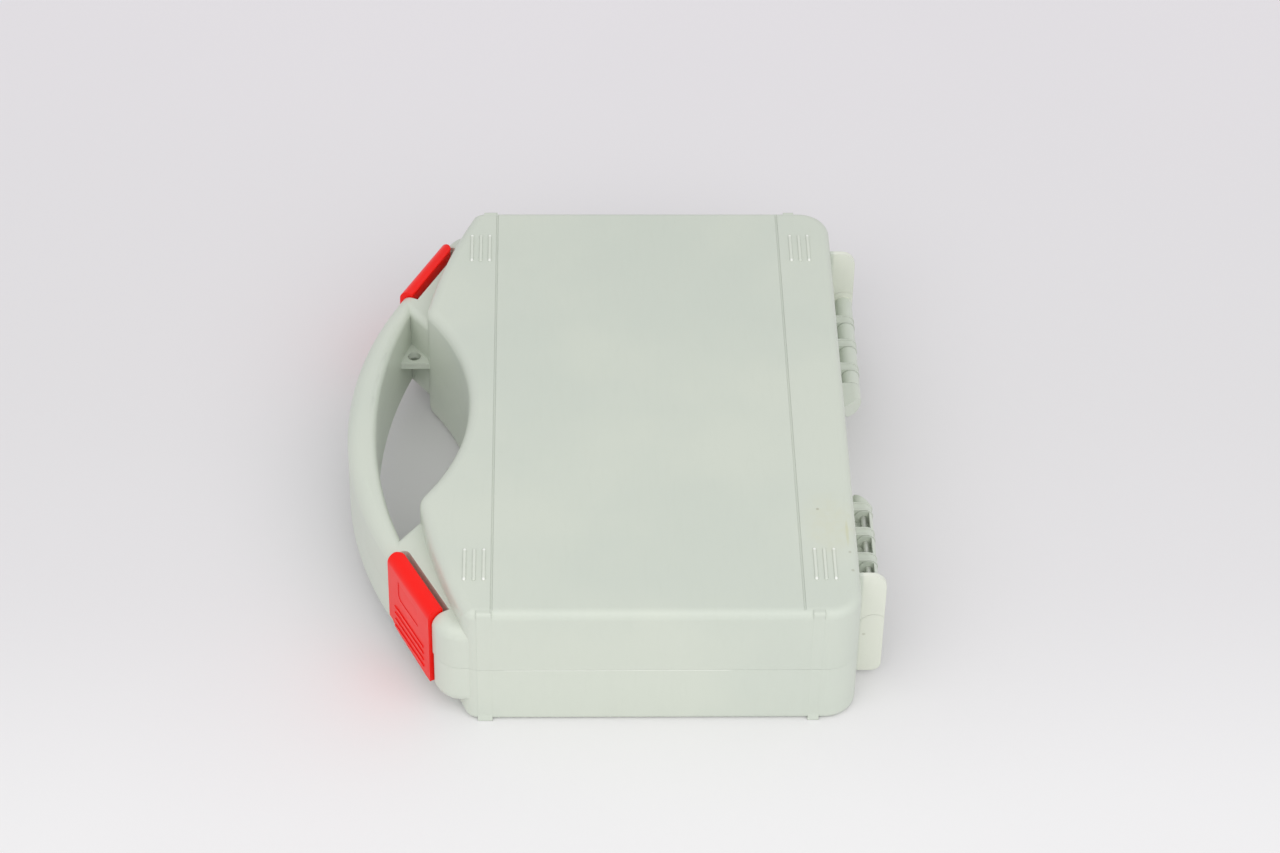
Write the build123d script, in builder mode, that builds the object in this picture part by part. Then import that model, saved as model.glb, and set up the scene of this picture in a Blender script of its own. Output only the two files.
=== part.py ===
"""Moulded plastic protective case with a hinged lid, two swing latches and a two-part handle.

The case lies flat on its base. X runs along the front, Y from the handle to the hinges and Z up.
The origin is under the middle of the whole case.
"""

from build123d import *
import math
import os

os.makedirs("parts", exist_ok=True)

# Main sizes of the case
case_length = 343.0
case_height = 80.0
body_depth = 237.5
handle_reach = 42.5
hinge_reach = 15.0
parting_height = 38.0
wall = 2.5

# Outline of the body, seen from above
scoop_inset = 16.8
scoop_depth = 26.0
scoop_corner_radius = 12.0
shoulder_setback = 27.0
shoulder_bulge = 3.0
front_corner_radius = 10.0
rear_corner_radius = 18.0
edge_radius = 5.0
base_edge_radius = 3.5
front_edge_radius = 6.5
front_soft_length = 14.4
edge_ease = 0.01
same_place = 0.01

# Bands, grooves and ribs moulded on the shells
band_proud = 0.03
band_top_gap = 0.2
band_corner_radius = 2.0
band_foot_proud = 0.7
band_foot_height = 4.0
front_band_inset = 36.5
front_band_width = 8.0
rear_band_inset = 23.5
rear_band_width = 6.1
front_groove_inset = 40.5
rear_groove_inset = 31.0
groove_width = 1.2
groove_depth = 0.5
rib_count = 3
rib_pitch = 5.2
rib_width = 1.7
rib_length = 24.5
rib_proud = 0.9
rib_edge_radius = 0.6
left_ribs_inset = 35.7
right_ribs_inset = 37.7
front_ribs_inset = 31.0
rear_ribs_inset = 18.5
seam_depth = 0.6
seam_height = 8.0
seam_angle = 4.5
seam_fade = 12.0
seam_front_inset = 45.0
seam_rear_inset = 54.5

# Lip round the rim of the base, inside the lid
lip_thickness = 1.4
lip_rise = 2.5
lip_root = 5.0
lip_clearance = 0.3

# Handle and the corner blocks that carry it and the latches
shoulder_run = 69.2
handle_taper = 51.0
handle_width = 16.3
handle_bottom = 10.0
handle_top = 65.5
handle_edge_radius = 7.7
handle_inner_edge_radius = 4.5
handle_wall = 3.0
shoulder_angle = 27.0
block_side_inset = 1.5
block_corner_radius = 16.0
opening_inset = 12.5
opening_end_slope = 37.0
padlock_web_length = 17.5
padlock_web_thickness = 2.2
padlock_hole_radius = 3.7
padlock_hole_inset = 11.2
padlock_hole_wall = 1.8

# Latches, each on a pin in a pocket of the lid's corner block
latch_start = 3.6
latch_width = 51.0
latch_drop = 6.0
latch_rise = 2.0
latch_proud = 1.8
latch_thickness = 2.7
latch_top_depth = 8.7
latch_nose_radius = 6.0
latch_top_radius = 0.8
latch_end_radius = 5.5
latch_back_thickness = 2.0
latch_back_drop = 8.5
latch_step_height = 6.0
latch_step_width = 4.0
latch_clip_height = 2.5
latch_clip_width = 9.0
latch_heel_width = 5.6
latch_clearance = 0.3
latch_end_gap = 0.6
pivot_inset = 3.5
pivot_drop = 4.0
pivot_boss_radius = 3.2
latch_pin_radius = 1.5
latch_pin_grip = 2.2
pocket_corner_radius = 3.5
pocket_wall = 2.5
recess_extra = 1.5
pocket_swing_gap = 0.3
pocket_floor_gap = 0.4
grip_count = 4
grip_pitch = 4.8
grip_width = 1.6
grip_length = 36.0
grip_proud = 0.5
grip_base = 5.0
panel_start = 13.0
panel_end = 37.4
panel_slope = 2.0
panel_base = 29.5
panel_middle = 31.7
panel_top = 42.0
panel_depth = 0.25
hook_drop = 13.0
hook_height = 2.4
hook_reach = 1.6
hook_width = 24.0
hook_end_gap = 0.6
catch_undercut = 0.8
catch_wall = 2.2

# Hinges along the rear wall
hinge_offset = 9.5
hinge_inset = 33.0
hinge_length = 107.2
hinge_pin_radius = 1.6
hinge_pin_cover = 1.5
gusset_height = 14.0
knuckle_gap = 0.3
running_clearance = 0.05
right_band_count = 4
right_band_start = 13.9
right_band_pitch = 20.4
left_band_count = 3
left_band_start = 37.3
left_band_pitch = 21.5
left_end_length = 26.0
knuckle_width = 6.6
knuckle_rim = 1.2
rim_proud = 0.4
window_rim = 2.6
window_depth = 3.4
window_length = 13.5
window_start = 0.4

# Feet at the outer ends of the hinges, on which the case stands upright
foot_thickness = 2.7
foot_bottom = 4.2
foot_top_gap = 4.3
foot_low_radius = 5.5
foot_high_radius = 8.5
foot_nose_radius = 8.6
foot_nose_gap = 0.1

# Foam pads
foam_thickness = 10.0
foam_gap = 0.3

# Places worked out from the sizes
case_depth = handle_reach + body_depth + hinge_reach
side_x = case_length / 2
front_y = -case_depth / 2
shoulder_y = front_y + handle_reach
rear_y = shoulder_y + body_depth
scoop_y = shoulder_y + scoop_depth
shoulder_end_y = shoulder_y + shoulder_setback
hinge_y = rear_y + hinge_offset
barrel_radius = hinge_reach - hinge_offset
knuckle_radius = barrel_radius - rim_proud
hinge_end = side_x - hinge_inset
hinge_start = hinge_end - hinge_length
pin_start = hinge_start + hinge_offset + hinge_pin_radius + hinge_pin_cover
pin_end = hinge_end - foot_thickness
sine = math.sin(math.radians(shoulder_angle))
cosine = math.cos(math.radians(shoulder_angle))
handle_inner_y = front_y + handle_width
block_side_x = side_x - block_side_inset
tangent_x = block_side_x - shoulder_run * cosine
handle_outer_radius = tangent_x / sine
handle_inner_radius = handle_outer_radius + handle_taper
handle_centre_y = front_y + handle_outer_radius
tangent_y = handle_centre_y - handle_outer_radius * cosine
block_corner_y = tangent_y + (block_side_x - tangent_x) * sine / cosine
latch_end = latch_start + latch_width
opening_half_width = tangent_x - opening_inset
scoop_half_width = opening_half_width - scoop_inset
padlock_web_start = opening_half_width - padlock_web_length
padlock_hole_x = opening_half_width - padlock_hole_inset
inner_arc_centre_y = handle_inner_y + handle_inner_radius
opening_end_y = inner_arc_centre_y - math.sqrt(handle_inner_radius ** 2 - opening_half_width ** 2)
padlock_hole_y = (inner_arc_centre_y
                  - math.sqrt((handle_inner_radius - padlock_hole_radius - padlock_hole_wall) ** 2
                              - padlock_hole_x ** 2))
foot_top = case_height - foot_top_gap
pivot_height = handle_top - pivot_drop
latch_back = latch_proud - latch_top_depth
swing_radius = latch_top_radius + math.hypot(latch_back + pivot_inset + latch_top_radius,
                                             latch_rise + pivot_drop - latch_top_radius)
pocket_back = pivot_inset + swing_radius + pocket_swing_gap
latch_back_low = handle_top + latch_rise - latch_back_drop
back_corner_radius = math.hypot(latch_back + pivot_inset, pivot_height - latch_back_low)
pocket_floor = pivot_height - max(pivot_boss_radius, back_corner_radius) - pocket_floor_gap
recess_depth = latch_thickness - latch_proud + latch_clearance
latch_low = handle_bottom + latch_drop
latch_high = handle_top + latch_rise
hook_middle = parting_height - hook_drop
hook_tip = latch_thickness - latch_proud + hook_reach
catch_face = hook_tip + latch_clearance

# The shoulders' own planes: x along the shoulder towards +X, y up, z outwards from its face
shoulder_face = Plane(origin=(tangent_x, tangent_y, 0), x_dir=(cosine, sine, 0), z_dir=(sine, -cosine, 0))
left_shoulder_face = Plane(origin=(-tangent_x, tangent_y, 0), x_dir=(cosine, -sine, 0),
                           z_dir=(-sine, -cosine, 0))


def body_plan(spread=0.0):
    """The body seen from above, with its side and rear walls moved out by spread."""
    half = scoop_half_width
    lean = math.atan2(shoulder_setback, side_x - half)
    middle = ((half + side_x) / 2 + shoulder_bulge * math.sin(lean),
              (shoulder_y + shoulder_end_y) / 2 - shoulder_bulge * math.cos(lean))
    out_x = side_x + spread
    out_y = shoulder_end_y + spread / 2
    side = [(side_x, shoulder_end_y), (out_x, rear_y + spread), (0, rear_y + spread)]
    if spread > 0:
        side.insert(1, (out_x, out_y))
    scoop_radius = (half ** 2 + scoop_depth ** 2) / (2 * scoop_depth)
    with BuildSketch() as plan:
        with BuildLine():
            RadiusArc((0, scoop_y), (half, shoulder_y), scoop_radius)
            ThreePointArc((half, shoulder_y), middle, side[0])
            Polyline(*side)
            mirror(about=Plane.YZ)
        make_face()
        scoop_corners = plan.vertices().filter_by(lambda v: abs(abs(v.X) - half) < same_place)
        fillet(scoop_corners, scoop_corner_radius)
        if spread == 0:
            rear_corners = plan.vertices().filter_by(lambda v: abs(v.Y - rear_y) < same_place)
            rear_corners = rear_corners.filter_by(lambda v: abs(v.X) > half)
            fillet(rear_corners, rear_corner_radius)
            shoulder_ends = plan.vertices().filter_by(lambda v: abs(v.Y - shoulder_end_y) < same_place)
            fillet(shoulder_ends, front_corner_radius)
    return plan.sketch


def rounded_body(inset):
    """The closed body drawn in by inset, with edges that are softer along the front."""
    height = case_height - 2 * inset
    side_radius = max(edge_radius - inset, edge_ease)
    low_radius = max(base_edge_radius - inset, edge_ease)
    front_radius = max(front_edge_radius - inset, 2 * edge_ease)
    with BuildPart() as even:
        with BuildSketch(Plane.XY.offset(inset)):
            add(body_plan())
            if inset > 0:
                offset(amount=-inset)
        extrude(amount=height)
        low_edges = even.edges().group_by(Axis.Z)[0]
        fillet(low_edges, low_radius)
        high_edges = even.edges().group_by(Axis.Z)[-1]
        fillet(high_edges, side_radius)
    with BuildPart() as softened:
        with BuildSketch(Plane.XY.offset(inset - edge_ease)):
            add(body_plan(spread=3 * front_edge_radius))
            offset(amount=edge_ease - inset, kind=Kind.INTERSECTION)
        extrude(amount=height + 2 * edge_ease)
        level = softened.edges().filter_by(Plane.XY)
        front_limit = shoulder_end_y + front_soft_length
        fillet(level.filter_by(lambda e: e.center().Y < front_limit), front_radius)
        add(even.part, mode=Mode.INTERSECT)
    return softened.part


def front_plan():
    """Handle and corner blocks seen from above, running back into the body."""
    back_y = scoop_y + scoop_depth
    with BuildSketch() as plan:
        with BuildLine():
            ThreePointArc((-tangent_x, tangent_y), (0, front_y), (tangent_x, tangent_y))
            Polyline((tangent_x, tangent_y), (block_side_x, block_corner_y), (block_side_x, back_y),
                     (-block_side_x, back_y), (-block_side_x, block_corner_y), (-tangent_x, tangent_y))
        make_face()
        block_corners = plan.vertices().filter_by(lambda v: abs(v.Y - block_corner_y) < same_place)
        fillet(block_corners, block_corner_radius)
    return plan.sketch


def opening_plan():
    """The gap for the fingers at half height, running back into the body."""
    back_x = scoop_half_width / 2
    back_y = opening_end_y + (opening_half_width - back_x) * math.tan(math.radians(opening_end_slope))
    with BuildSketch() as plan:
        with BuildLine():
            ThreePointArc((-opening_half_width, opening_end_y), (0, handle_inner_y),
                          (opening_half_width, opening_end_y))
            Polyline((opening_half_width, opening_end_y), (back_x, back_y), (-back_x, back_y),
                     (-opening_half_width, opening_end_y))
        make_face()
    return plan.sketch


def mouth_profile(reach):
    """A tall gap in section: its wall is on the Y axis, with round mouths flaring towards +X."""
    radius = handle_inner_edge_radius
    ease = radius * (1 - math.cos(math.radians(45)))
    low = handle_bottom
    high = handle_top
    with BuildSketch() as section:
        with BuildLine():
            Polyline((0, low + radius), (0, high - radius))
            ThreePointArc((0, high - radius), (ease, high - ease), (radius, high))
            Polyline((radius, high), (radius, case_height), (-reach, case_height), (-reach, 0),
                     (radius, 0), (radius, low))
            ThreePointArc((radius, low), (ease, low + ease), (0, low + radius))
        make_face()
    return section.sketch


def opening_cut():
    """What is cut from the bar for the fingers: a round front wall and two straight ends that meet it."""
    slope = math.radians(opening_end_slope)
    arc_centre = (0, inner_arc_centre_y, 0)
    inner_end = (opening_half_width - case_length * math.cos(slope),
                 opening_end_y + case_length * math.sin(slope), 0)
    end_wall = Plane(origin=inner_end, x_dir=(math.sin(slope), math.cos(slope), 0),
                     z_dir=(math.cos(slope), -math.sin(slope), 0))
    front_wall = Plane(origin=(0, handle_inner_y, 0), x_dir=(0, -1, 0), z_dir=(-1, 0, 0))
    with BuildPart() as end:
        with BuildSketch(end_wall):
            add(mouth_profile(body_depth))
        extrude(amount=case_length + handle_reach)
    with BuildPart() as cut:
        with BuildSketch(front_wall):
            add(mouth_profile(body_depth))
        revolve(axis=Axis(arc_centre, (0, 0, 1)))
        add(end.part, mode=Mode.INTERSECT)
        add(end.part.mirror(Plane.YZ), mode=Mode.INTERSECT)
    return cut.part


def front_structure():
    """Handle and corner blocks as one solid bar with soft edges and the opening through it."""
    with BuildPart() as bar:
        with BuildSketch(Plane.XY.offset(handle_bottom)):
            add(front_plan())
        extrude(amount=handle_top - handle_bottom)
        level = bar.edges().filter_by(Plane.XY)
        fillet(level.filter_by(lambda e: e.center().Y < scoop_y), handle_edge_radius)
        add(opening_cut(), mode=Mode.SUBTRACT)
    return bar.part


def front_hollow():
    """The moulded hollow inside the handle and the corner blocks."""
    with BuildPart() as hollow:
        with BuildSketch(Plane.XY.offset(handle_bottom + handle_wall)):
            add(front_plan())
            offset(amount=-handle_wall)
            with BuildSketch(mode=Mode.PRIVATE) as gap:
                add(opening_plan())
                offset(amount=handle_wall)
            add(gap.sketch, mode=Mode.SUBTRACT)
            add(body_plan(), mode=Mode.SUBTRACT)
        extrude(amount=handle_top - handle_bottom - 2 * handle_wall)
    return hollow.part


def side_bands():
    """Flush bands up both side walls, seen where the walls' edges are rounded, each with a small foot."""
    inner_x = side_x - edge_radius
    outer_x = side_x + band_proud
    foot_x = side_x + band_foot_proud
    top = case_height - band_top_gap
    with BuildPart() as bands:
        for y, width in ((shoulder_y + front_band_inset, front_band_width),
                         (rear_y - rear_band_inset, rear_band_width)):
            with BuildSketch(Plane.XZ.offset(-y - width / 2)) as section:
                with BuildLine():
                    Polyline((inner_x, 0), (foot_x, 0), (outer_x, band_foot_height), (outer_x, top),
                             (inner_x, top), close=True)
                make_face()
                fillet(section.vertices().group_by(Axis.Y)[-1].sort_by(Axis.X)[-1], band_corner_radius)
                mirror(about=Plane.YZ)
            extrude(amount=width)
    return bands.part


def padlock_webs():
    """Thin webs across both ends of the finger gap at the parting plane, each with a hole."""
    with BuildPart() as webs:
        with BuildSketch(Plane.XY.offset(parting_height - padlock_web_thickness)):
            add(opening_plan())
            offset(amount=handle_wall / 2)
            Rectangle(2 * padlock_web_start, case_depth, mode=Mode.SUBTRACT)
            add(body_plan(), mode=Mode.SUBTRACT)
            with Locations((padlock_hole_x, padlock_hole_y), (-padlock_hole_x, padlock_hole_y)):
                Circle(padlock_hole_radius, mode=Mode.SUBTRACT)
        extrude(amount=2 * padlock_web_thickness)
    return webs.part


def latch_plan(face, start, margin, front, back, corner_radius):
    """A latch's outline from above with a margin at its ends, whose -X corner at the back is rounded."""
    first = start - margin
    last = start + latch_width + margin
    with BuildSketch(Plane(origin=face.origin, x_dir=face.x_dir, z_dir=(0, 0, 1))) as plan:
        with BuildLine():
            Polyline((first, front), (last, front), (last, back), (first, back), close=True)
        make_face()
        fillet(plan.vertices().group_by(Axis.Y)[-1].sort_by(Axis.X)[0], corner_radius)
    return plan.sketch


def latch_pocket(face, start, outer):
    """What is cut from a corner block for its latch: a deep pocket at the top and a shallow recess below."""
    cut_width = latch_width + 2 * latch_end_gap
    middle = start + latch_width / 2
    with BuildPart() as pocket:
        with BuildSketch(Plane.XY.offset(pocket_floor)):
            add(latch_plan(face, start, latch_end_gap, -latch_top_depth, pocket_back, pocket_corner_radius))
        extrude(amount=case_height - pocket_floor)
        with BuildSketch(face.offset(-recess_depth)):
            with Locations((middle, case_height / 2)):
                Rectangle(cut_width, case_height)
            with Locations((middle + outer * recess_extra / 2, parting_height / 2)):
                Rectangle(cut_width + recess_extra, parting_height)
        extrude(amount=recess_depth + latch_top_depth)
    return pocket.part


def latch_housing():
    """Walls round the pocket inside the corner block, which also hold the latch's pin."""
    low = pocket_floor - pocket_wall
    width = latch_width + 2 * (latch_end_gap + pocket_wall)
    with BuildPart() as housing:
        with BuildSketch(shoulder_face.offset(-pocket_back - pocket_wall)):
            with Locations((latch_start + latch_width / 2, (low + case_height) / 2)):
                Rectangle(width, case_height - low)
        extrude(amount=pocket_back + pocket_wall + latch_proud)
        add(front_structure_part, mode=Mode.INTERSECT)
    return housing.part


def latch_pin_rod(radius, grip):
    """A rod on the right latch's pivot line, reaching past the latch by grip at both ends."""
    reach = latch_end_gap + grip
    first_end = shoulder_face.from_local_coords((latch_start - reach, pivot_height, -pivot_inset))
    with BuildPart() as rod:
        with BuildSketch(Plane(origin=first_end, z_dir=shoulder_face.x_dir)):
            Circle(radius)
        extrude(amount=latch_width + 2 * reach)
    return rod.part


def both_sides(piece):
    """A piece and its mirror image on the other side of the case."""
    with BuildPart() as pair:
        add(piece)
        mirror(about=Plane.YZ)
    return pair.part


# The closed case, hollow, before it is parted into base and lid
front_structure_part = front_structure()
with BuildPart() as closed_case:
    add(rounded_body(0))
    add(front_structure_part)
    add(side_bands())
    add(rounded_body(wall), mode=Mode.SUBTRACT)
    add(front_hollow(), mode=Mode.SUBTRACT)
    add(both_sides(latch_housing()))
    add(latch_pocket(shoulder_face, latch_start, 1), mode=Mode.SUBTRACT)
    add(latch_pocket(left_shoulder_face, -latch_end, -1), mode=Mode.SUBTRACT)
    add(padlock_webs())


def knuckle_spans(start, pitch, count):
    """The lid's knuckles along X as pairs of ends, set out from the hinge's inner end."""
    firsts = [hinge_start + start + i * pitch for i in range(count)]
    return [(first, first + knuckle_width) for first in firsts]


def base_spans(start, bands):
    """The base's knuckles: the rest of the hinge from start on, between the lid's knuckles."""
    edges = [start] + [x for band in bands for x in (band[0] - knuckle_gap, band[1] + knuckle_gap)]
    edges.append(hinge_end - foot_thickness / 2)
    return list(zip(edges[0::2], edges[1::2]))


def rim_spans(bands):
    """The raised rims at both ends of each of the lid's knuckles."""
    return [(start, start + knuckle_rim) for band in bands for start in (band[0], band[1] - knuckle_rim)]


def knuckles(spans, radius, root):
    """Knuckles round the hinge axis, joined to the rear wall from the parting plane up or down by root."""
    wall_y = rear_y - wall / 2
    with BuildPart() as row:
        for first, last in spans:
            with BuildSketch(Plane.YZ.offset(first)):
                with Locations((hinge_y, parting_height)):
                    Circle(radius)
                with BuildLine():
                    Polyline((wall_y, parting_height), (hinge_y, parting_height),
                             (hinge_y, parting_height + math.copysign(radius, root)),
                             (wall_y, parting_height + root), close=True)
                make_face()
            extrude(amount=last - first)
    return row.part


def foot(of_base):
    """The plate behind the outer end of a hinge: the base's half has a round nose, the lid's clears it."""
    depth = hinge_reach + wall / 2
    back = rear_y + hinge_reach
    with BuildPart() as plate:
        with BuildSketch(Plane.YZ.offset(hinge_end - foot_thickness)) as side:
            with Locations((back - depth / 2, (foot_bottom + foot_top) / 2)):
                Rectangle(depth, foot_top - foot_bottom)
            fillet(side.vertices().group_by(Axis.Y)[0].sort_by(Axis.X)[-1], foot_low_radius)
            fillet(side.vertices().group_by(Axis.Y)[-1].sort_by(Axis.X)[-1], foot_high_radius)
            if of_base:
                with Locations((back, parting_height)):
                    Rectangle(4 * depth, case_height, align=(Align.CENTER, Align.MIN), mode=Mode.SUBTRACT)
                with Locations((hinge_y, parting_height)):
                    Circle(foot_nose_radius)
                with Locations((back, parting_height)):
                    Rectangle(depth, case_height, align=(Align.MIN, Align.CENTER), mode=Mode.SUBTRACT)
            else:
                with Locations((back, parting_height)):
                    Rectangle(4 * depth, case_height, align=(Align.CENTER, Align.MAX), mode=Mode.SUBTRACT)
                with Locations((hinge_y, parting_height)):
                    Circle(foot_nose_radius + foot_nose_gap, mode=Mode.SUBTRACT)
        extrude(amount=foot_thickness)
    return plate.part


def hinge_bore():
    """The hole for a hinge's pin, closed at both ends."""
    with BuildPart() as bore:
        with BuildSketch(Plane.YZ.offset(pin_start - running_clearance)):
            with Locations((hinge_y, parting_height)):
                Circle(hinge_pin_radius + running_clearance)
        extrude(amount=pin_end - pin_start + 2 * running_clearance)
    return bore.part


def hinge_taper_cut():
    """What is cut off the inner end of a hinge, which tapers to the wall at 45 degrees."""
    with BuildPart() as cut:
        with BuildSketch(Plane.XY):
            with BuildLine():
                Polyline((hinge_start, rear_y), (hinge_start, rear_y + 2 * hinge_reach),
                         (hinge_start + 2 * hinge_reach, rear_y + 2 * hinge_reach), close=True)
            make_face()
        extrude(amount=case_height)
    return cut.part


def hinge_windows(spans):
    """Openings in the top of the base's knuckles, which show the pin and leave a rim outside it."""
    inner_y = hinge_y - barrel_radius
    outer_y = hinge_y + barrel_radius - window_rim
    with BuildPart() as windows:
        with BuildSketch(Plane.XY.offset(parting_height - window_depth)):
            for first, last in spans[1:]:
                start = first + window_start
                end = min(last, start + window_length)
                with Locations(((start + end) / 2, (inner_y + outer_y) / 2)):
                    Rectangle(end - start, outer_y - inner_y)
        extrude(amount=window_depth + barrel_radius)
    return windows.part


right_bands = knuckle_spans(right_band_start, right_band_pitch, right_band_count)
left_bands = knuckle_spans(left_band_start, left_band_pitch, left_band_count)
right_base_spans = base_spans(hinge_start, right_bands)
left_end_x = hinge_start + left_end_length
left_base_spans = base_spans(left_end_x + knuckle_gap, left_bands)


def base_hinges():
    """The base's halves of both hinges, with the feet's lower halves."""
    with BuildPart() as left:
        add(knuckles(left_base_spans, knuckle_radius, -gusset_height))
        add(foot(True))
        add(hinge_bore(), mode=Mode.SUBTRACT)
    with BuildPart() as right:
        add(knuckles(right_base_spans, knuckle_radius, -gusset_height))
        add(hinge_windows(right_base_spans), mode=Mode.SUBTRACT)
        add(foot(True))
        add(hinge_taper_cut(), mode=Mode.SUBTRACT)
        add(hinge_bore(), mode=Mode.SUBTRACT)
    with BuildPart() as both:
        add(left.part.mirror(Plane.YZ))
        add(right.part)
    return both.part


def lid_hinges():
    """The lid's knuckles of both hinges, with the feet's upper halves and the left hinge's inner end."""
    with BuildPart() as left:
        add(knuckles([(hinge_start, left_end_x)] + left_bands, knuckle_radius, knuckle_radius))
        add(hinge_taper_cut(), mode=Mode.SUBTRACT)
        add(knuckles(rim_spans(left_bands), barrel_radius, barrel_radius))
        add(foot(False))
        add(hinge_bore(), mode=Mode.SUBTRACT)
    with BuildPart() as right:
        add(knuckles(right_bands, knuckle_radius, knuckle_radius))
        add(knuckles(rim_spans(right_bands), barrel_radius, barrel_radius))
        add(foot(False))
        add(hinge_bore(), mode=Mode.SUBTRACT)
    with BuildPart() as both:
        add(left.part.mirror(Plane.YZ))
        add(right.part)
    return both.part


def rim_lip():
    """The lip that stands up inside the rim of the base and keeps dust out of the lid."""
    inner = wall + lip_clearance + lip_thickness
    with BuildPart() as lip:
        with BuildSketch(Plane.XY.offset(parting_height - lip_root)):
            add(body_plan())
            offset(amount=-wall / 2)
        extrude(amount=lip_root)
        with BuildSketch(Plane.XY.offset(parting_height)):
            add(body_plan())
            offset(amount=-wall - lip_clearance)
        extrude(amount=lip_rise)
        with BuildSketch(Plane.XY.offset(parting_height - lip_root)):
            add(body_plan())
            offset(amount=-inner)
        extrude(amount=lip_root + lip_rise, mode=Mode.SUBTRACT)
    return lip.part


def catch_block():
    """Solid plastic behind the latch's recess in the base, for its catch."""
    half = hook_width / 2 + hook_end_gap + catch_wall
    depth = catch_face + catch_undercut + catch_wall
    low = hook_middle - hook_height - catch_wall
    with BuildPart() as block:
        with BuildSketch(shoulder_face.offset(-depth)):
            with Locations(((latch_start + latch_end) / 2, (low + parting_height) / 2)):
                Rectangle(2 * half, parting_height - low)
        extrude(amount=depth - recess_depth)
    return block.part


def catch_cut():
    """The catch: a channel down to the hook and an undercut that faces the hook."""
    low = hook_middle - hook_height
    half = hook_width / 2 + hook_end_gap
    with BuildPart() as cut:
        with BuildSketch(shoulder_face.offset(-catch_face)):
            with Locations(((latch_start + latch_end) / 2, (low + parting_height) / 2)):
                Rectangle(2 * half, parting_height - low)
        extrude(amount=catch_face)
        with BuildSketch(shoulder_face.offset(-catch_face - catch_undercut)):
            with Locations(((latch_start + latch_end) / 2, hook_middle)):
                Rectangle(2 * half, 2 * hook_height)
        extrude(amount=catch_face)
    return cut.part


def lid_top_ribs():
    """Three short raised ribs with soft tops near each corner of the lid."""
    with BuildPart() as ribs:
        with BuildSketch(Plane.XY.offset(case_height - edge_radius / 2)):
            for x in (left_ribs_inset - side_x, side_x - right_ribs_inset):
                for y in (shoulder_y + front_ribs_inset, rear_y - rear_ribs_inset):
                    with Locations((x, y)):
                        with GridLocations(1, rib_pitch, 1, rib_count):
                            SlotOverall(rib_length, rib_width)
        extrude(amount=edge_radius / 2 + rib_proud)
        fillet(ribs.edges().group_by(Axis.Z)[-1], rib_edge_radius)
    return ribs.part


def lid_grooves():
    """Two fine grooves across the lid's top."""
    with BuildPart() as grooves:
        with BuildSketch(Plane.XY.offset(case_height - groove_depth)):
            with Locations((0, shoulder_y + front_groove_inset), (0, rear_y - rear_groove_inset)):
                Rectangle(case_length, groove_width)
        extrude(amount=groove_depth)
    return grooves.part


def seam_relief():
    """A slight draw-in of the lid's side walls just above the parting plane, fading out at its ends."""
    start = shoulder_y + seam_front_inset
    end = rear_y - seam_rear_inset
    inner_x = side_x - seam_depth
    outer_x = side_x + wall
    with BuildPart() as relief:
        with BuildSketch(Plane.XY.offset(parting_height)):
            with BuildLine():
                Polyline((side_x, start), (inner_x, start + seam_fade), (inner_x, end - seam_fade),
                         (side_x, end), (outer_x, end), (outer_x, start), close=True)
            make_face()
        extrude(amount=seam_height, taper=seam_angle)
    return relief.part


# Base: the lower half of the body and handle, with the hinges and the catches
with BuildPart() as base_shell:
    add(closed_case.part)
    split(bisect_by=Plane.XY.offset(parting_height), keep=Keep.BOTTOM)
    add(rim_lip())
    add(both_sides(catch_block()))
    add(both_sides(catch_cut()), mode=Mode.SUBTRACT)
    add(base_hinges())
base_shell.part.label = "base_shell"
export_step(base_shell.part, "parts/base_shell.step")

# Lid: the upper half, with its knuckles, grooves and ribs
with BuildPart() as lid_shell:
    add(closed_case.part)
    split(bisect_by=Plane.XY.offset(parting_height), keep=Keep.TOP)
    add(lid_hinges())
    add(lid_grooves(), mode=Mode.SUBTRACT)
    add(both_sides(seam_relief()), mode=Mode.SUBTRACT)
    add(lid_top_ribs())
    add(both_sides(latch_pin_rod(latch_pin_radius + running_clearance, latch_pin_grip)), mode=Mode.SUBTRACT)
lid_shell.part.label = "lid_shell"
export_step(lid_shell.part, "parts/lid_shell.step")

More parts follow.
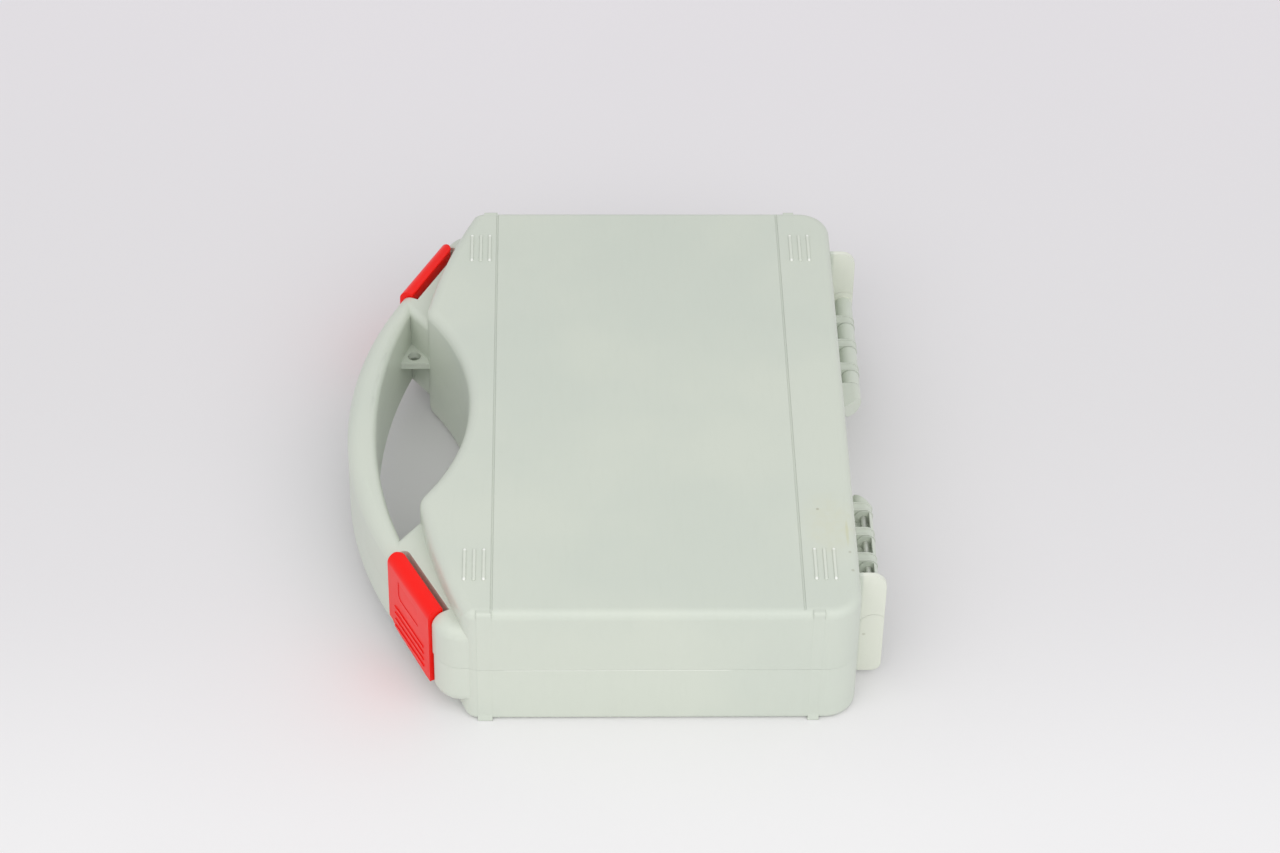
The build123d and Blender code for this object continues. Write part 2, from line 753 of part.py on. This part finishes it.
def latch(face, start):
    """A latch: a plate with a hollow head on the pivot line, a hook low on its back and grip ridges."""
    end = start + latch_width
    middle = (start + end) / 2
    inner_n = latch_proud - latch_thickness
    panel_first = start + panel_start
    panel_low = latch_low + panel_base
    panel_high = latch_low + panel_top
    section = Plane(origin=face.from_local_coords((end, 0, 0)), x_dir=face.z_dir, z_dir=-face.x_dir)
    with BuildPart() as piece:
        with BuildSketch(section) as profile:
            with BuildLine():
                Polyline((latch_proud, latch_low), (latch_proud, latch_high), (latch_back, latch_high),
                         (latch_back, latch_back_low), (inner_n, latch_back_low), (inner_n, latch_low),
                         close=True)
            make_face()
            fillet(profile.vertices().group_by(Axis.Y)[-1].sort_by(Axis.X)[-1], latch_nose_radius)
            fillet(profile.vertices().group_by(Axis.Y)[-1].sort_by(Axis.X)[0], latch_top_radius)
        extrude(amount=latch_width)
        with BuildSketch(Plane.XY.offset(latch_back_low)):
            add(latch_plan(face, start, -latch_back_thickness, -inner_n, -latch_back - latch_back_thickness,
                           latch_end_radius - latch_back_thickness))
        extrude(amount=latch_high - latch_thickness - latch_back_low, mode=Mode.SUBTRACT)
        with BuildSketch(section):
            with Locations((-pivot_inset, pivot_height)):
                Circle(pivot_boss_radius)
            with Locations((-pivot_inset / 2, (pivot_height + latch_high - latch_thickness) / 2)):
                Rectangle(pivot_inset, latch_high - latch_thickness - pivot_height)
        extrude(amount=latch_width)
        with BuildSketch(Plane.XY):
            add(latch_plan(face, start, 0, -latch_top_depth, -latch_back, latch_end_radius))
        extrude(amount=case_height, mode=Mode.INTERSECT)
        with BuildSketch(face.offset(-latch_top_depth)):
            with BuildLine():
                Polyline((start, case_height), (start, latch_low + latch_step_height),
                         (start + latch_step_width, latch_low + latch_step_height),
                         (start + latch_clip_width, latch_low + latch_clip_height),
                         (end - latch_heel_width, latch_low), (end, latch_low), (end, case_height),
                         close=True)
            make_face()
        extrude(amount=2 * latch_top_depth, mode=Mode.INTERSECT)
        with BuildSketch(section):
            with Locations((-pivot_inset, pivot_height)):
                Circle(latch_pin_radius + running_clearance)
        extrude(amount=latch_width, mode=Mode.SUBTRACT)
        with BuildSketch(face.offset(latch_proud - panel_depth)):
            with BuildLine():
                Polyline((panel_first, panel_high), (panel_first, latch_low + panel_middle),
                         (panel_first + panel_slope, panel_low), (start + panel_end, panel_low),
                         (start + panel_end, panel_high), close=True)
            make_face()
        extrude(amount=panel_depth, mode=Mode.SUBTRACT)
        with BuildSketch(face.offset(latch_proud)):
            with Locations((middle, latch_low + grip_base + (grip_count - 1) * grip_pitch / 2)):
                with GridLocations(1, grip_pitch, 1, grip_count):
                    SlotOverall(grip_length, grip_width)
        extrude(amount=grip_proud)
        with BuildSketch(face.offset(-hook_tip)):
            with Locations((middle, hook_middle)):
                Rectangle(hook_width, hook_height)
        extrude(amount=hook_reach + latch_thickness / 2)
    return piece.part


# Latches: both are the same moulding, turned to its shoulder
with BuildPart() as right_latch:
    add(latch(shoulder_face, latch_start))
right_latch.part.label = "right_latch"
export_step(right_latch.part, "parts/right_latch.step")

with BuildPart() as left_latch:
    add(latch(left_shoulder_face, -latch_end))
left_latch.part.label = "left_latch"
export_step(left_latch.part, "parts/left_latch.step")

# Pins of the latches
with BuildPart() as right_latch_pin:
    add(latch_pin_rod(latch_pin_radius, latch_pin_grip - running_clearance))
right_latch_pin.part.label = "right_latch_pin"
export_step(right_latch_pin.part, "parts/right_latch_pin.step")

with BuildPart() as left_latch_pin:
    add(right_latch_pin.part.mirror(Plane.YZ))
left_latch_pin.part.label = "left_latch_pin"
export_step(left_latch_pin.part, "parts/left_latch_pin.step")

# Pins of the hinges
with BuildPart() as right_hinge_pin:
    with BuildSketch(Plane.YZ.offset(pin_start)):
        with Locations((hinge_y, parting_height)):
            Circle(hinge_pin_radius)
    extrude(amount=pin_end - pin_start)
right_hinge_pin.part.label = "right_hinge_pin"
export_step(right_hinge_pin.part, "parts/right_hinge_pin.step")

with BuildPart() as left_hinge_pin:
    add(right_hinge_pin.part.mirror(Plane.YZ))
left_hinge_pin.part.label = "left_hinge_pin"
export_step(left_hinge_pin.part, "parts/left_hinge_pin.step")

# Foam pads on the floor of the base and under the top of the lid
with BuildPart() as base_foam:
    add(rounded_body(wall + foam_gap))
    split(bisect_by=Plane.XY.offset(wall + foam_gap + foam_thickness), keep=Keep.BOTTOM)
base_foam.part.label = "base_foam"
export_step(base_foam.part, "parts/base_foam.step")

with BuildPart() as lid_foam:
    add(rounded_body(wall + foam_gap))
    split(bisect_by=Plane.XY.offset(case_height - wall - foam_gap - foam_thickness), keep=Keep.TOP)
lid_foam.part.label = "lid_foam"
export_step(lid_foam.part, "parts/lid_foam.step")
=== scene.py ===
"""Looks of the protective case: moulded plastic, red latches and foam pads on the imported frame."""
import bpy
import bmesh
import math
from mathutils import Matrix, Vector


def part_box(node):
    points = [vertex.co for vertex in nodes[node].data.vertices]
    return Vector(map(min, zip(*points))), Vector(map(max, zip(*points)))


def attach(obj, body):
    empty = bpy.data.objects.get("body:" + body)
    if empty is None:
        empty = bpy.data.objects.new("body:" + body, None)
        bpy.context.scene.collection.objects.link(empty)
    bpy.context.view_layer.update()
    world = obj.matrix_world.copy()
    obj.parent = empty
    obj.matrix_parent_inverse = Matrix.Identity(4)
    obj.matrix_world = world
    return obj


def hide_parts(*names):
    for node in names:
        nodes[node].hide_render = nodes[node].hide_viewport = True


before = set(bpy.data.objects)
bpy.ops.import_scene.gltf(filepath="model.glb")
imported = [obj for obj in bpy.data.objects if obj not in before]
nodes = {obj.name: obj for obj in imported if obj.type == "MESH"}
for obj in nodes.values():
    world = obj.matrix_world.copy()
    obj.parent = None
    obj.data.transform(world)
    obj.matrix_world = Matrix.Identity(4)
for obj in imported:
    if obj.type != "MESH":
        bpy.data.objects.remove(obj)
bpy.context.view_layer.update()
scene = bpy.context.scene
scene.view_settings.view_transform = "Standard"

# Sizes of the case that the looks line up with, in metres
side_x = 0.1715
shoulder_y = -0.105
rear_y = 0.1325
lid_top_z = 0.080
parting_z = 0.038
feet_from_x = 0.1345
rib_ends_x = (-0.1472, -0.1244, 0.1224, 0.1452)
rib_middles_y = (-0.074, 0.114)
rib_pitch = 0.0052
rib_crest_z = lid_top_z + 0.0008
latch_grip_z = (0.034, 0.018)

# Marks: the middle of each, the ends of the painted highlight along the rim, and specks with their radius and strength
smear_place = (0.1022, 0.1185, lid_top_z)
streak_place = (0.1088, 0.1272, lid_top_z)
rim_highlight_left = (-0.062, -0.054)
rim_highlight_right = (0.066, 0.060)
base_specks = (((0.1385, 0.1369, 0.0320), 0.0009, 0.3),)
lid_specks = (((0.0903, 0.1122, lid_top_z), 0.0008, 0.5), ((0.1243, 0.1278, lid_top_z), 0.0008, 0.35),
              ((0.1383, 0.1286, 0.0798), 0.0009, 0.35))

# Floor: its half width, how far it lies under the case, and where its painted light and shade turn darker round the
# case and paler again
floor_half_width = 20
floor_drop = 0.0001
floor_back_light_x = (-0.65, -0.05)
floor_front_light_x = (0.04, 0.26)

# Camera and lamps
lens_in_pixels = 3650
picture_width_in_pixels = 1280
sensor_width = 36.0
camera_place = (1.5450, -0.03235, 1.4301)
camera_turn = (41.55, 1.85, 1.16)
lamp_target = (0, 0, 0.04)
ambient_strength = 0.68

# Foam pads
foam_voxel = 0.0016
foam_wall_gap = 0.003
foam_front_gap = 0.01
foam_border = 0.002
foam_fade = 0.010
crate_pitch = 0.026
crate_depth = 0.0042
knife_depth = 0.0003
knife_wave = 210
knife_bend = 34


def linear(red, green, blue):
    """A colour given as 8-bit display values, as the shader takes it."""
    def one(v):
        v = v / 255
        return v / 12.92 if v <= 0.04045 else ((v + 0.055) / 1.055) ** 2.4
    return (one(red), one(green), one(blue), 1.0)


class Nodes:
    """A material's node tree, with short calls for the nodes used here."""

    def __init__(self, name):
        self.material = bpy.data.materials.new(name)
        self.material.use_nodes = True
        self.tree = self.material.node_tree
        self.tree.nodes.clear()
        self.output = self.make("OutputMaterial")
        self.shader = self.make("BsdfPrincipled")
        self.join(self.shader, "BSDF", self.output, "Surface")
        self.place = self.make("TexCoord").outputs["Object"]

    def make(self, kind, **settings):
        node = self.tree.nodes.new("ShaderNode" + kind)
        for key, value in settings.items():
            setattr(node, key, value)
        return node

    def join(self, source, output, target, socket):
        self.tree.links.new(source.outputs[output], target.inputs[socket])

    def feed(self, value, socket):
        """Links an output to a socket, or sets the socket to a plain value."""
        if hasattr(value, "is_output"):
            self.tree.links.new(value, socket)
        else:
            socket.default_value = value

    def math(self, operation, a, b=0.0):
        node = self.make("Math", operation=operation)
        self.feed(a, node.inputs[0])
        self.feed(b, node.inputs[1])
        return node.outputs[0]

    def ramp(self, value, low, high, out_low=0.0, out_high=1.0):
        node = self.make("MapRange", interpolation_type="SMOOTHSTEP")
        self.feed(value, node.inputs["Value"])
        limits = {"From Min": low, "From Max": high, "To Min": out_low, "To Max": out_high}
        for name, number in limits.items():
            node.inputs[name].default_value = number
        return node.outputs["Result"]

    def noise(self, size, detail=2.0, rough=0.5, stretch=(1, 1, 1), at=(0, 0, 0), warp=0.0):
        mapping = self.make("Mapping")
        self.tree.links.new(self.place, mapping.inputs["Vector"])
        mapping.inputs["Scale"].default_value = stretch
        mapping.inputs["Location"].default_value = at
        node = self.make("TexNoise")
        self.join(mapping, "Vector", node, "Vector")
        node.inputs["Scale"].default_value = 1 / size
        node.inputs["Detail"].default_value = detail
        node.inputs["Roughness"].default_value = rough
        node.inputs["Distortion"].default_value = warp
        return node.outputs["Fac"]

    def cells(self, size, at=(0, 0, 0)):
        mapping = self.make("Mapping")
        self.tree.links.new(self.place, mapping.inputs["Vector"])
        mapping.inputs["Location"].default_value = at
        node = self.make("TexVoronoi", feature="F1")
        self.join(mapping, "Vector", node, "Vector")
        node.inputs["Scale"].default_value = 1 / size
        return node.outputs["Distance"]

    def mix(self, share, a, b):
        node = self.make("Mix", data_type="RGBA")
        self.feed(share, node.inputs["Factor"])
        self.feed(a, node.inputs["A"])
        self.feed(b, node.inputs["B"])
        return node.outputs["Result"]

    def axes(self):
        node = self.make("SeparateXYZ")
        self.tree.links.new(self.place, node.inputs[0])
        return node.outputs["X"], node.outputs["Y"], node.outputs["Z"]

    def spot(self, centre, radius, soft=0.5, stretch=(1, 1, 1), ragged=0.0):
        """A soft patch round a point: 1 inside, 0 outside, with a ragged edge."""
        mapping = self.make("Mapping", vector_type="TEXTURE")
        self.tree.links.new(self.place, mapping.inputs["Vector"])
        mapping.inputs["Location"].default_value = centre
        mapping.inputs["Scale"].default_value = [radius * s for s in stretch]
        length = self.make("VectorMath", operation="LENGTH")
        self.join(mapping, "Vector", length, 0)
        away = length.outputs["Value"]
        if ragged:
            fringe = self.math("MULTIPLY", self.noise(radius * 0.45, 3.0), ragged)
            away = self.math("ADD", away, fringe)
            away = self.math("SUBTRACT", away, ragged / 2)
        return self.ramp(away, 1 - soft, 1 + soft, 1.0, 0.0)

    def bump(self, height, distance, strength=1.0, under=None):
        node = self.make("Bump")
        node.inputs["Strength"].default_value = strength
        node.inputs["Distance"].default_value = distance
        self.feed(height, node.inputs["Height"])
        if under is not None:
            self.feed(under, node.inputs["Normal"])
        return node.outputs["Normal"]

    def rounded(self, radius):
        """Normals that round off sharp moulded edges."""
        node = self.make("Bevel", samples=6)
        node.inputs["Radius"].default_value = radius
        return node.outputs["Normal"]

    def soften(self, weight, radius, scale):
        """Lets a little light into the plastic."""
        self.shader.inputs["Subsurface Weight"].default_value = weight
        self.shader.inputs["Subsurface Radius"].default_value = radius
        self.shader.inputs["Subsurface Scale"].default_value = scale

    def set(self, **values):
        """Sets the shader's inputs by their names in lower case."""
        for key, value in values.items():
            self.feed(value, self.shader.inputs[key.replace("_", " ").title().replace("Ior", "IOR")])


def lid_stains_and_highlights(m, body):
    """Painted highlights on the rib crests and painted glints at the rib ends, a yellowish smear and a streak on the
    lid.
    """
    z = m.axes()[2]
    ragged = m.spot(smear_place, 0.016, 0.55, (1.35, 0.8, 1), 0.9)
    smear = m.math("MULTIPLY", ragged, m.ramp(m.noise(0.005, 4.0, 0.6), 0.3, 0.7, 0.35, 1.0))
    body = m.mix(m.math("MULTIPLY", smear, 0.22), body, linear(208, 205, 168))
    streak = m.spot(streak_place, 0.0062, 0.5, (1.4, 0.13, 1), 0.5)
    body = m.mix(m.math("MULTIPLY", streak, 0.35), body, linear(200, 198, 150))
    # painted highlight: the crests of the ribs are painted paler
    rib_crest_highlight = m.ramp(z, lid_top_z + 0.0002, lid_top_z + 0.0007)
    body = m.mix(m.math("MULTIPLY", rib_crest_highlight, 0.35), body, linear(232, 236, 225))
    # painted glints: small pale spots at both ends of the outer ribs
    for end_x in rib_ends_x:
        for mid_y in rib_middles_y:
            rib_end_glint = m.math("MAXIMUM", m.spot((end_x, mid_y - rib_pitch, rib_crest_z), 0.0009, 0.6),
                            m.spot((end_x, mid_y + rib_pitch, rib_crest_z), 0.0009, 0.6))
            body = m.mix(m.math("MULTIPLY", rib_end_glint, 0.85), body, linear(250, 251, 246))
    return body


def base_rim_highlight(m, body):
    """A painted highlight: a paler line along the base's rim on the near side."""
    x, y, z = m.axes()
    # painted highlight along the upper edge of the base's rim
    rim = m.math("MULTIPLY", m.ramp(z, parting_z - 0.0006, parting_z - 0.0003),
                 m.ramp(x, side_x - 0.0013, side_x - 0.0007))
    length = m.math("MULTIPLY", m.ramp(y, *rim_highlight_left), m.ramp(y, *rim_highlight_right))
    return m.mix(m.math("MULTIPLY", m.math("MULTIPLY", rim, length), 0.8), body, linear(240, 244, 235))


def shell_plastic(name, shade, marks_and_highlights, specks):
    """Satin moulded polypropylene, pale grey with a green cast, the feet painted paler as painted light."""
    m = Nodes(name)
    x, y = m.axes()[:2]
    patches = m.ramp(m.noise(0.11, 3.0), 0.35, 0.65)
    body = m.mix(patches, linear(206 + shade, 213 + shade, 202 + shade), linear(211 + shade, 217 + shade, 205 + shade))
    # painted light: the feet behind the rear wall are painted paler, standing in for the light the case body keeps off
    # them
    feet = m.math("MULTIPLY", m.ramp(y, rear_y + 0.001, rear_y + 0.003),
                  m.ramp(m.math("ABSOLUTE", x), feet_from_x, feet_from_x + 0.0015))
    body = m.mix(feet, body, linear(229, 232, 220))
    flow = m.noise(0.02, 4.0, 0.6, (1, 6, 1), warp=0.6)
    body = m.mix(m.ramp(flow, 0.45, 0.8, 0.0, 0.07), body, linear(190, 197, 184))
    grime = m.math("MULTIPLY", m.ramp(m.noise(0.0035, 5.0, 0.7, at=(3, 1, 2)), 0.62, 0.8), 0.10)
    body = m.mix(grime, body, linear(150, 150, 132))
    # adds the lid's smear and streak and the painted highlights and glints on ribs and rim
    body = marks_and_highlights(m, body)
    for centre, radius, share in specks:
        speck = m.math("MULTIPLY", m.spot(centre, radius, 0.5, (1, 1, 1), 0.5), share)
        body = m.mix(speck, body, linear(150, 146, 120))
    rough = m.ramp(m.noise(0.03, 4.0, 0.6), 0.3, 0.7, 0.34, 0.42)
    scratch = m.noise(0.0016, 3.0, 0.6, (0.06, 1.3, 1.0), (1, 4, 2), 0.4)
    scratch = m.math("MULTIPLY", m.ramp(scratch, 0.66, 0.74), m.ramp(m.noise(0.04, 2.0, at=(7, 2, 5)), 0.5, 0.62))
    rough = m.math("ADD", rough, m.math("MULTIPLY", scratch, 0.16))
    grain = m.math("ADD", m.noise(0.00045, 3.0, 0.6), m.math("MULTIPLY", m.noise(0.0012, 2.0), 0.5))
    normal = m.bump(grain, 0.00004, 0.35, m.rounded(0.0005))
    normal = m.bump(scratch, 0.00002, 0.25, normal)
    sink = m.noise(0.035, 1.0)
    normal = m.bump(sink, 0.0003, 0.25, normal)
    m.set(base_color=body, roughness=rough, normal=normal, ior=1.49, specular_ior_level=0.42)
    m.soften(0.06, (1.0, 1.0, 0.9), 0.0012)
    return m.material


def latch_plastic():
    """Bright red semi-gloss moulded plastic, worn where fingers pull it."""
    m = Nodes("latch_plastic")
    z = m.axes()[2]
    body = m.mix(m.ramp(m.noise(0.03, 3.0), 0.35, 0.65), linear(252, 17, 4), linear(254, 20, 6))
    rub = m.math("MULTIPLY", m.ramp(z, *latch_grip_z), m.ramp(m.noise(0.003, 4.0, 0.7), 0.5, 0.75))
    body = m.mix(m.math("MULTIPLY", rub, 0.12), body, linear(255, 96, 80))
    rough = m.ramp(m.noise(0.012, 4.0, 0.6), 0.3, 0.7, 0.30, 0.35)
    rough = m.math("ADD", rough, m.math("MULTIPLY", rub, 0.12))
    grain = m.noise(0.0005, 3.0, 0.6)
    normal = m.bump(grain, 0.00003, 0.25, m.rounded(0.0006))
    m.set(base_color=body, roughness=rough, normal=normal, ior=1.5, specular_ior_level=0.28)
    m.soften(0.10, (1.0, 0.25, 0.2), 0.0015)
    return m.material


def pin_steel():
    """Zinc-plated drawn steel wire, dull and pale, with fine lines along it."""
    m = Nodes("pin_steel")
    drawn = m.noise(0.0004, 3.0, 0.6, (0.03, 1, 1))
    body = m.mix(m.ramp(m.noise(0.006, 3.0), 0.4, 0.7), linear(214, 217, 210), linear(198, 201, 194))
    normal = m.bump(drawn, 0.00002, 0.5)
    rough = m.ramp(m.noise(0.004, 3.0), 0.3, 0.7, 0.40, 0.52)
    m.set(base_color=body, roughness=rough, normal=normal, metallic=0.45)
    return m.material


def foam_cells():
    """Dark open-cell polyurethane foam, with painted shade in its pores."""
    m = Nodes("foam_cells")
    pores = m.cells(0.0011)
    fine = m.cells(0.0006, at=(2, 3, 1))
    # painted shade: the pore hollows are painted darker, and the same mask sinks them in the bump
    pore_depth_and_shade = m.math("MULTIPLY", m.ramp(pores, 0.05, 0.5), m.ramp(fine, 0.05, 0.45, 0.6, 1.0))
    tone = m.mix(m.ramp(m.noise(0.02, 3.0), 0.3, 0.7), linear(58, 59, 62), linear(68, 69, 72))
    body = m.mix(pore_depth_and_shade, linear(30, 30, 32), tone)
    normal = m.bump(pore_depth_and_shade, 0.0006, 0.8)
    normal = m.bump(m.noise(0.004, 4.0, 0.6), 0.0004, 0.5, normal)
    rough = m.ramp(m.noise(0.01, 3.0), 0.3, 0.7, 0.9, 1.0)
    m.set(base_color=body, roughness=rough, normal=normal, specular_ior_level=0.15)
    m.shader.inputs["Sheen Weight"].default_value = 0.25
    m.shader.inputs["Sheen Roughness"].default_value = 0.6
    return m.material


def floor_paper():
    """A pale paper sweep with painted light and shade: darker round the case, a little paler towards its back and
    front.
    """
    m = Nodes("floor_paper")
    x = m.axes()[0]
    # painted light and shade: paler far behind, darker round the case, paler again in front
    body = m.mix(m.ramp(x, *floor_back_light_x), linear(242, 238, 242), linear(231, 229, 231))
    body = m.mix(m.ramp(x, *floor_front_light_x), body, linear(240, 239, 240))
    body = m.mix(m.ramp(m.noise(0.35, 2.0), 0.4, 0.6, 0.0, 0.15), body, linear(234, 232, 235))
    rough = m.ramp(m.noise(0.05, 3.0), 0.3, 0.7, 0.72, 0.84)
    normal = m.bump(m.noise(0.0012, 3.0), 0.00004, 0.4)
    m.set(base_color=body, roughness=rough, normal=normal, specular_ior_level=0.2)
    return m.material


def dress(obj, material):
    obj.data.materials.clear()
    obj.data.materials.append(material)


def add_mesh(name, bm):
    mesh = bpy.data.meshes.new(name)
    bm.to_mesh(mesh)
    bm.free()
    obj = bpy.data.objects.new(name, mesh)
    scene.collection.objects.link(obj)
    return obj


def foam_pad(node, name, body, exposed, relief):
    """A foam pad that fills its CAD solid, with relief cut into its exposed face and softened edges."""
    low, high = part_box(node)
    pad = bpy.data.objects.new(name, nodes[node].data.copy())
    scene.collection.objects.link(pad)
    remesh = pad.modifiers.new("remesh", "REMESH")
    remesh.mode = "VOXEL"
    remesh.voxel_size = foam_voxel
    graph = bpy.context.evaluated_depsgraph_get()
    mesh = bpy.data.meshes.new_from_object(pad.evaluated_get(graph))
    pad.modifiers.clear()
    pad.data = mesh
    bm = bmesh.new()
    bm.from_mesh(mesh)
    face_z = high.z if exposed > 0 else low.z
    for v in bm.verts:
        near = 1 - abs(v.co.z - face_z) / (high.z - low.z)
        edge = min(side_x - foam_wall_gap - abs(v.co.x), rear_y - foam_wall_gap - v.co.y,
                   v.co.y - shoulder_y - foam_front_gap)
        fade = max(0.0, min(1.0, (edge - foam_border) / foam_fade))
        v.co.z -= exposed * max(0.0, near) ** 2 * relief(v.co.x, v.co.y) * fade
        v.co.z = min(max(v.co.z, low.z), high.z)
        v.co.x = min(max(v.co.x, low.x), high.x)
        v.co.y = min(max(v.co.y, low.y), high.y)
    bm.to_mesh(mesh)
    bm.free()
    for polygon in mesh.polygons:
        polygon.use_smooth = True
    dress(pad, foam)
    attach(pad, body)
    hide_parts(node)


def egg_crate(x, y):
    """Depth of a waved foam face, from its peaks."""
    turn = math.pi * 2 / crate_pitch / 1.414
    wave = math.sin((x + y) * turn) * math.sin((x - y) * turn)
    return crate_depth * (0.5 - 0.5 * wave)


def flat_cut(x, y):
    """Slight waves left by the knife on a flat cut face."""
    return knife_depth * (0.5 + 0.5 * math.sin(x * knife_wave + math.sin(y * knife_bend) * 1.5))


# Camera at the photograph's viewing angle
camera = bpy.data.objects.new("camera", bpy.data.cameras.new("camera"))
scene.collection.objects.link(camera)
camera.data.sensor_width = sensor_width
camera.data.lens = lens_in_pixels / picture_width_in_pixels * sensor_width
camera.data.clip_start = 0.05
camera.data.clip_end = 100
pitch, yaw, roll = (math.radians(a) for a in camera_turn)
forward = Vector((-math.cos(pitch), 0, -math.sin(pitch)))
right = Vector((0, 1, 0))
down = forward.cross(right)
turn_yaw = Matrix(((math.cos(yaw), -math.sin(yaw), 0), (math.sin(yaw), math.cos(yaw), 0), (0, 0, 1)))
turn_roll = Matrix(((math.cos(roll), -math.sin(roll), 0), (math.sin(roll), math.cos(roll), 0), (0, 0, 1)))
rows = turn_roll @ Matrix((right, down, forward)) @ turn_yaw
axes = Matrix((rows[0], -rows[1], -rows[2])).transposed().to_4x4()
camera.matrix_world = Matrix.Translation(camera_place) @ axes
scene.camera = camera

# Floor and soft studio light
bm = bmesh.new()
bmesh.ops.create_grid(bm, x_segments=2, y_segments=2, size=floor_half_width)
floor = add_mesh("floor", bm)
floor.location.z = -floor_drop
dress(floor, floor_paper())


def softbox(name, power, size, place):
    """A round soft lamp that faces the case."""
    light = bpy.data.lights.new(name, "AREA")
    light.shape = "DISK"
    light.size = size
    light.energy = power
    light.color = (1.0, 0.995, 0.98)
    obj = bpy.data.objects.new(name, light)
    scene.collection.objects.link(obj)
    obj.location = place
    obj.rotation_mode = "QUATERNION"
    obj.rotation_quaternion = (Vector(place) - Vector(lamp_target)).to_track_quat("Z", "Y")


softbox("key", 12.5, 2.0, (1.30, 0.80, 1.50))
softbox("fill", 9.5, 1.8, (1.20, -0.80, 1.60))

# Light from all round, and a pale background for what the camera and reflections see past the floor
world = bpy.data.worlds.new("studio")
scene.world = world
world.use_nodes = True
tree = world.node_tree
tree.nodes.clear()
out = tree.nodes.new("ShaderNodeOutputWorld")
seen = tree.nodes.new("ShaderNodeBackground")
seen.inputs["Color"].default_value = linear(226, 224, 228)
seen.inputs["Strength"].default_value = 1.0
ambient = tree.nodes.new("ShaderNodeBackground")
ambient.inputs["Color"].default_value = (0.985, 0.99, 1.0, 1.0)
ambient.inputs["Strength"].default_value = ambient_strength
path = tree.nodes.new("ShaderNodeLightPath")
pick = tree.nodes.new("ShaderNodeMixShader")
either = tree.nodes.new("ShaderNodeMath")
either.operation = "MAXIMUM"
tree.links.new(path.outputs["Is Camera Ray"], either.inputs[0])
tree.links.new(path.outputs["Is Glossy Ray"], either.inputs[1])
tree.links.new(either.outputs[0], pick.inputs[0])
tree.links.new(ambient.outputs[0], pick.inputs[1])
tree.links.new(seen.outputs[0], pick.inputs[2])
tree.links.new(pick.outputs[0], out.inputs["Surface"])

# Finishes of the CAD pieces
foam = foam_cells()
latches = latch_plastic()
steel = pin_steel()
# the base shell is two levels paler than the lid
dress(nodes["base_shell"], shell_plastic("shell_plastic_base", 2, base_rim_highlight, base_specks))
dress(nodes["lid_shell"], shell_plastic("shell_plastic_lid", 0, lid_stains_and_highlights, lid_specks))
for name in ("left_latch", "right_latch"):
    dress(nodes[name], latches)
for name in ("left_hinge_pin", "right_hinge_pin", "left_latch_pin", "right_latch_pin"):
    dress(nodes[name], steel)

# Foam pads
foam_pad("base_foam", "base_foam_pad", "base", 1, flat_cut)
foam_pad("lid_foam", "lid_foam_pad", "lid", -1, egg_crate)
